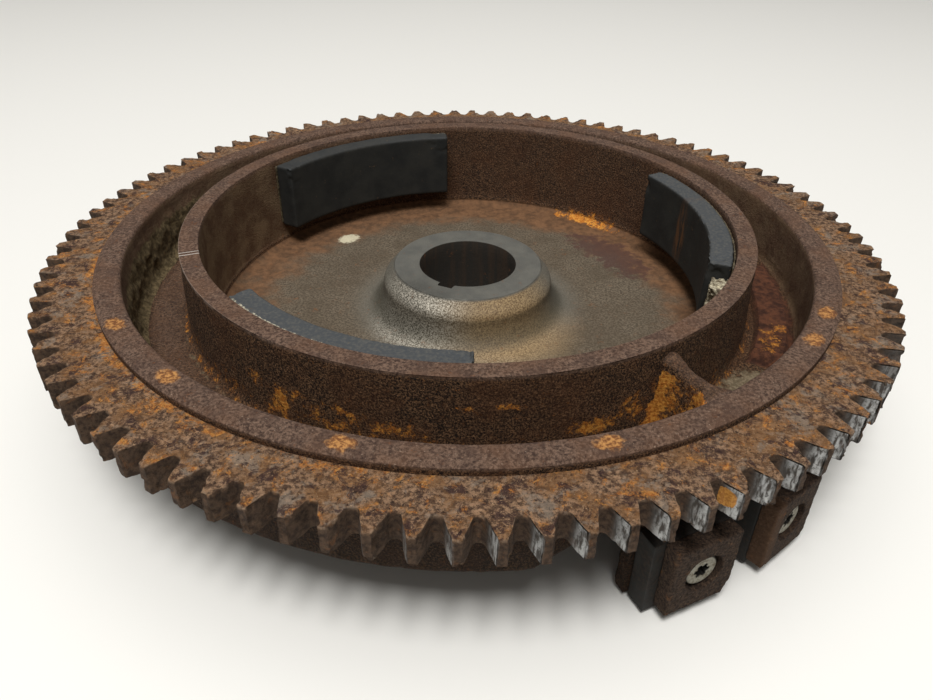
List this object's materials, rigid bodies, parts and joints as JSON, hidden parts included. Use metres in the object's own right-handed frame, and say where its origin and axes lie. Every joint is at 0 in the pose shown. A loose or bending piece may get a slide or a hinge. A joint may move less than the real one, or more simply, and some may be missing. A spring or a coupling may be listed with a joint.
{
  "type": "small engine flywheel",
  "caption": "Rusted cast iron flywheel with a starter ring gear, alternator magnets inside a collar, and screwed-on ignition pole shoes below the rim.",
  "frame": {"origin": "on the bore axis, at the machined hub face on the engine side", "axes": "+Z along the bore axis, out of the hub face towards the engine; +X at azimuth 0, 109 degrees clockwise from the keyway seen from +Z"},
  "size_m": [0.2438, 0.2438, 0.0466],
  "materials": {
    "cast_iron": "rusted rough casting, with machined faces browned",
    "gear_steel": "mottled brown and orange rust, bright where the pinion has worn the teeth",
    "ferrite": "smooth charcoal grey ferrite",
    "adhesive": "hardened cream epoxy",
    "pole_steel": "dark granular rust",
    "zinc_steel": "dull zinc plating"
  },
  "bodies": {
    "root": {"flywheel_casting": "cast_iron", "ring_gear": "gear_steel", "rotor_magnet_1": "ferrite", "rotor_magnet_2": "ferrite", "rotor_magnet_3": "ferrite", "magnet_adhesive_1": "adhesive", "magnet_adhesive_2": "adhesive", "magnet_adhesive_3": "adhesive", "ignition_magnet_1": "ferrite", "ignition_magnet_2": "ferrite", "pole_shoe_1": "pole_steel", "pole_shoe_2": "pole_steel", "pole_screw_1": "zinc_steel", "pole_screw_2": "zinc_steel"}
  },
  "joints": []
}
